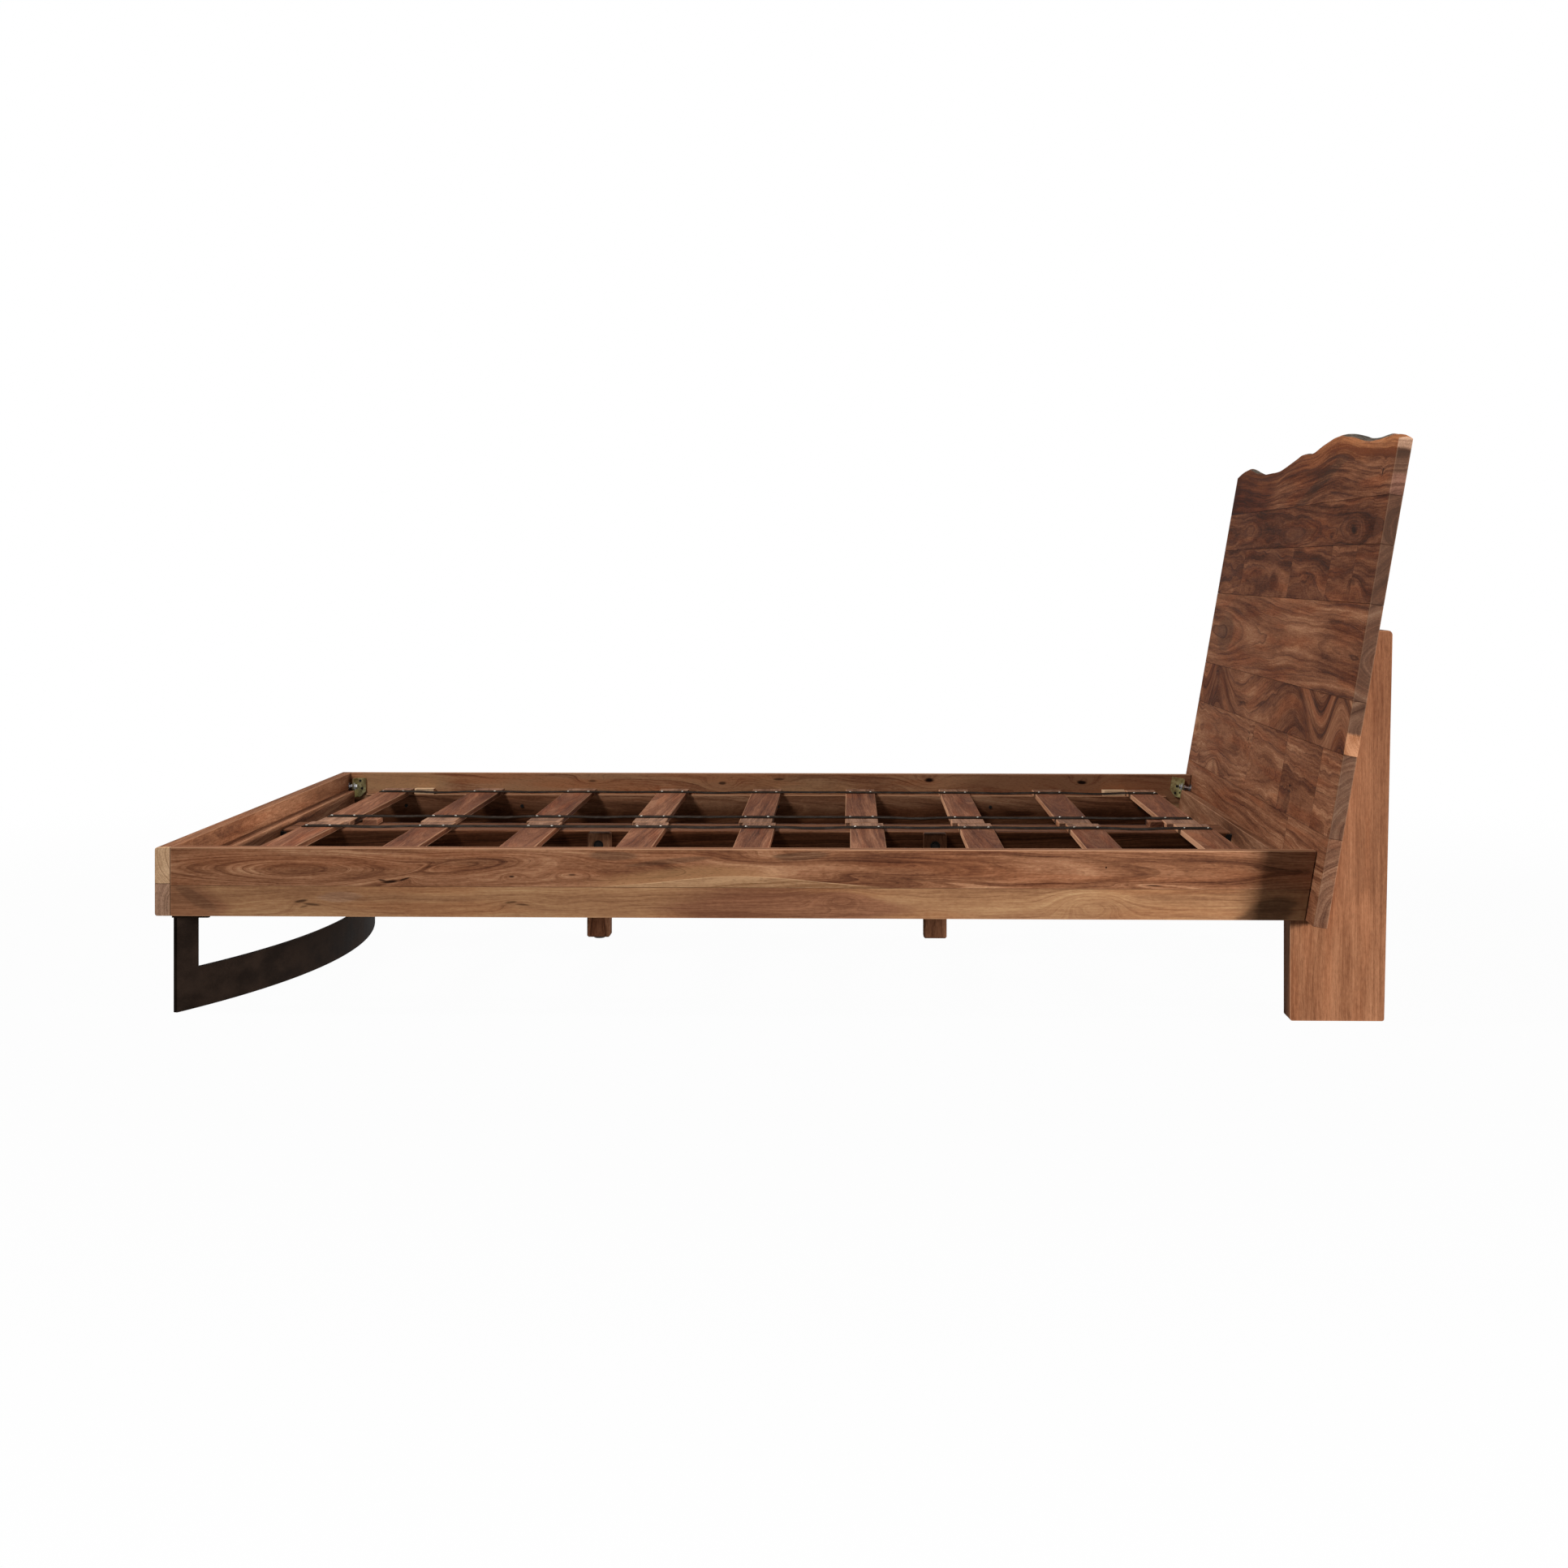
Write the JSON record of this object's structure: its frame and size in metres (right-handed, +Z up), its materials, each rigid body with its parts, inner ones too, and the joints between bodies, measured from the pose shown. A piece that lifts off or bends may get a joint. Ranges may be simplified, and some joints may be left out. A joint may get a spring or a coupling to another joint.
{
  "type": "platform bed frame with leaning live-edge headboard",
  "caption": "Low wooden platform bed with a leaning live-edge headboard on wide rear posts, a curved steel foot leg and lift-out slat rolls on a centre bearer.",
  "frame": {"origin": "on the floor, under the centre of the bed's bounding box", "axes": "+X across the bed toward the near side rail, +Y from the foot rail to the headboard, +Z up"},
  "size_m": [1.744, 2.2474, 1.0733],
  "materials": {
    "rail_upper": "satin oiled, red-brown with cathedral figure",
    "rail_lower": "satin oiled, tan with small knots",
    "sapwood": "satin oiled, pale sapwood",
    "headboard": "satin oiled, dark and strongly figured",
    "live_edge": "satin oiled, waney natural top edge",
    "post": "satin oiled, warm brown straight grain",
    "inner_wood": "satin oiled, plain brown",
    "slat": "lightly sealed, pinkish brown",
    "webbing": "woven, matte black",
    "steel": "blackened, satin",
    "zinc": "yellow zinc plated",
    "bolt": "bright zinc plated",
    "black_steel": "black oxide",
    "plastic": "moulded, matte"
  },
  "bodies": {
    "bed_frame": {"beam_hanger_foot": "black_steel", "beam_hanger_head": "black_steel", "bracket_bolt_foot_far": "bolt", "bracket_bolt_foot_near": "bolt", "bracket_bolt_head_far": "bolt", "bracket_bolt_head_near": "bolt", "centre_beam": "inner_wood", "centre_leg_1": "inner_wood", "centre_leg_2": "inner_wood", "centre_leg_bolt_1": "black_steel", "centre_leg_bolt_2": "black_steel", "corner_bracket_foot_far": "zinc", "corner_bracket_foot_near": "zinc", "corner_bracket_head_far": "zinc", "corner_bracket_head_near": "zinc", "foot_cleat": "inner_wood", "foot_leg": "steel", "foot_rail_lower_board": "rail_upper", "foot_rail_upper_board": "sapwood", "head_cleat": "inner_wood", "headboard_board_1": "headboard", "headboard_board_2": "headboard", "headboard_board_3": "headboard", "headboard_board_4": "headboard", "headboard_board_5": "headboard", "headboard_board_6": "headboard", "headboard_post_far": "post", "headboard_post_near": "post", "live_edge_slab": "live_edge", "side_ledger_far": "inner_wood", "side_ledger_near": "inner_wood", "side_rail_far_lower_board": "rail_lower", "side_rail_far_upper_board": "rail_upper", "side_rail_near_lower_board": "rail_lower", "side_rail_near_upper_board": "rail_upper"},
    "slat_roll_near": {"slat_near_1": "slat", "slat_near_2": "slat", "slat_near_3": "slat", "slat_near_4": "slat", "slat_near_5": "slat", "slat_near_6": "slat", "slat_near_7": "slat", "slat_near_8": "slat", "slat_near_9": "slat", "strap_near_inner": "webbing", "strap_near_outer": "webbing"},
    "slat_roll_far": {"slat_far_1": "slat", "slat_far_2": "slat", "slat_far_3": "slat", "slat_far_4": "slat", "slat_far_5": "slat", "slat_far_6": "slat", "slat_far_7": "slat", "slat_far_8": "slat", "slat_far_9": "slat", "strap_far_inner": "webbing", "strap_far_outer": "webbing"},
    "glide_1": {"levelling_glide_1": "plastic"},
    "glide_2": {"levelling_glide_2": "plastic"}
  },
  "joints": [
    {"name": "slat_roll_near_lift", "type": "slide", "parent": "bed_frame", "child": "slat_roll_near", "axis": [0, 0, 1], "range_m": [0, 0.15]},
    {"name": "slat_roll_far_lift", "type": "slide", "parent": "bed_frame", "child": "slat_roll_far", "axis": [0, 0, 1], "range_m": [0, 0.15]},
    {"name": "glide_1_screw", "type": "slide", "parent": "bed_frame", "child": "glide_1", "axis": [0, 0, -1], "range_m": [-0.0045, 0.032]},
    {"name": "glide_2_screw", "type": "slide", "parent": "bed_frame", "child": "glide_2", "axis": [0, 0, -1], "range_m": [-0.0004, 0.0361]}
  ]
}
